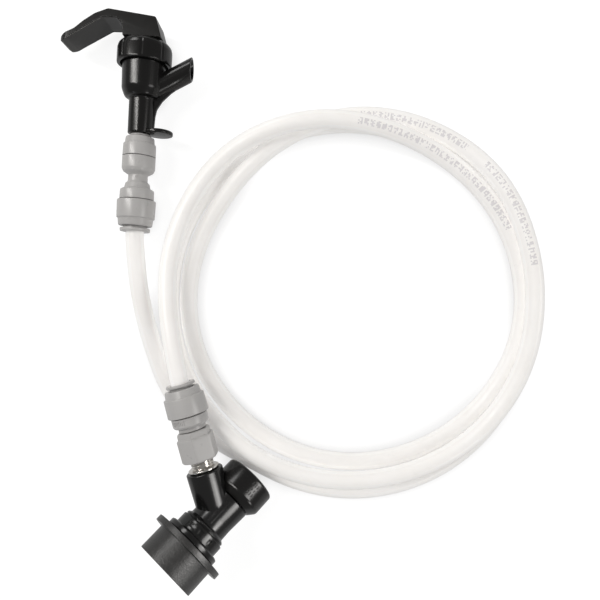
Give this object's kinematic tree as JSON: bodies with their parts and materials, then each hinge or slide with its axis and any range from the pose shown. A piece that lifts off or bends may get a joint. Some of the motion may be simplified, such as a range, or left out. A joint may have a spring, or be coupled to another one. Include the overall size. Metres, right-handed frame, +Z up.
{
  "type": "keg dispensing line",
  "caption": "Keg dispensing line: lever tap, push-in reducer, coiled milky tube, push-in flare adapter with a swivel nut, and a ball-lock liquid disconnect with a sliding collar.",
  "frame": {"origin": "centre of the kit's footprint, on the table it lies on", "axes": "+Z up from the table; +Y from the disconnect end to the tap end; +X towards the coil's side"},
  "size_m": [0.2112, 0.2504, 0.0451],
  "materials": {
    "line": "milky, translucent, smooth",
    "grey": "mid grey, satin, moulded",
    "black_gloss": "black, glossy, moulded",
    "black_satin": "black, fine matte grain",
    "stainless": "bright turned stainless steel",
    "black_rubber": "black rubber",
    "soft_washer": "pale soft silicone"
  },
  "bodies": {
    "line": {"beer_line": "line", "adapter_body": "grey", "adapter_gland": "grey", "adapter_oring_inner": "black_rubber", "adapter_oring_outer": "black_rubber", "flare_washer": "soft_washer"},
    "adapter_release": {"adapter_collet": "grey", "adapter_grip_ring": "stainless"},
    "nut": {"swivel_nut": "grey"},
    "reducer": {"reducer_body": "grey", "reducer_small_gland": "grey", "reducer_large_gland": "grey", "reducer_small_oring_inner": "black_rubber", "reducer_small_oring_outer": "black_rubber", "reducer_large_oring_inner": "black_rubber", "reducer_large_oring_outer": "black_rubber"},
    "small_release": {"reducer_small_collet": "grey", "reducer_small_grip_ring": "stainless"},
    "large_release": {"reducer_large_collet": "grey", "reducer_large_grip_ring": "stainless"},
    "tap": {"tap_body": "black_gloss", "tap_bonnet": "black_gloss", "bonnet_seal": "black_rubber", "tap_spring": "stainless"},
    "stem": {"tap_stem": "black_satin", "tap_seat": "soft_washer", "lever_pin": "stainless"},
    "lever": {"tap_lever": "black_gloss"},
    "disconnect": {"disconnect_body": "black_gloss", "disconnect_cap": "black_gloss", "cap_oring": "black_rubber", "flare_insert": "stainless", "post_seal": "black_rubber", "poppet_spring": "stainless", "collar_spring": "stainless"},
    "collar": {"release_collar": "black_satin"},
    "ball_1": {"lock_ball_1": "stainless"},
    "ball_2": {"lock_ball_2": "stainless"},
    "ball_3": {"lock_ball_3": "stainless"},
    "poppet": {"poppet_pin": "stainless", "poppet_seal": "black_rubber"}
  },
  "joints": [
    {"name": "reducer_spin", "type": "hinge", "parent": "line", "child": "reducer", "pos_m": [-0.07479, 0.03745, 0.01233], "axis": [0.0574, 0.9984, 0], "continuous": true},
    {"name": "tap_swivel", "type": "hinge", "parent": "reducer", "child": "tap", "pos_m": [-0.07324, 0.06441, 0.01233], "axis": [0.0574, 0.9984, 0], "continuous": true},
    {"name": "stem_lift", "type": "slide", "parent": "tap", "child": "stem", "axis": [0.0574, 0.9984, 0], "range_m": [0, 0.0034], "deforming": ["tap_spring"]},
    {"name": "lever_press", "type": "hinge", "parent": "stem", "child": "lever", "pos_m": [-0.07023, 0.11682, 0.01233], "axis": [0, 0, 1], "range_deg": [0, 25], "stiffness_Nm_per_rad": 0.05},
    {"name": "reducer_small_collet_push", "type": "slide", "parent": "reducer", "child": "small_release", "axis": [-0.0574, -0.9984, 0], "range_m": [0, 0.0005]},
    {"name": "reducer_large_collet_push", "type": "slide", "parent": "reducer", "child": "large_release", "axis": [0.0574, 0.9984, 0], "range_m": [0, 0.0008]},
    {"name": "adapter_collet_push", "type": "slide", "parent": "line", "child": "adapter_release", "axis": [0.2636, -0.9642, -0.0286], "range_m": [0, 0.0008]},
    {"name": "nut_spin", "type": "hinge", "parent": "line", "child": "nut", "pos_m": [-0.046, -0.06449, 0.02066], "axis": [-0.2636, 0.9642, 0.0286], "continuous": true},
    {"name": "disconnect_swivel", "type": "hinge", "parent": "line", "child": "disconnect", "pos_m": [-0.03757, -0.09535, 0.01974], "axis": [-0.2636, 0.9642, 0.0286], "continuous": true},
    {"name": "collar_slide", "type": "slide", "parent": "disconnect", "child": "collar", "axis": [0.6601, 0.6256, -0.4158], "range_m": [0, 0.0028], "stiffness_N_per_m": 60, "deforming": ["collar_spring"]},
    {"name": "poppet_lift", "type": "slide", "parent": "disconnect", "child": "poppet", "axis": [0.6601, 0.6256, -0.4158], "range_m": [0, 0.003], "stiffness_N_per_m": 60, "deforming": ["poppet_spring"]},
    {"name": "lock_ball_1_move", "type": "slide", "parent": "disconnect", "child": "ball_1", "axis": [-0.2833, 0.72, 0.6335], "range_m": [0, 0.00094]},
    {"name": "lock_ball_2_move", "type": "slide", "parent": "disconnect", "child": "ball_2", "axis": [0.7441, -0.6202, 0.2483], "range_m": [0, 0.00094]},
    {"name": "lock_ball_3_move", "type": "slide", "parent": "disconnect", "child": "ball_3", "axis": [-0.4608, -0.0998, -0.8819], "range_m": [0, 0.00094]}
  ],
  "couplings": [
    {"joint": "lever_press", "follows": "stem_lift", "rad_per_m": 128.2},
    {"joint": "lock_ball_1_move", "follows": "collar_slide", "ratio": 0.33333},
    {"joint": "lock_ball_2_move", "follows": "collar_slide", "ratio": 0.33333},
    {"joint": "lock_ball_3_move", "follows": "collar_slide", "ratio": 0.33333}
  ]
}
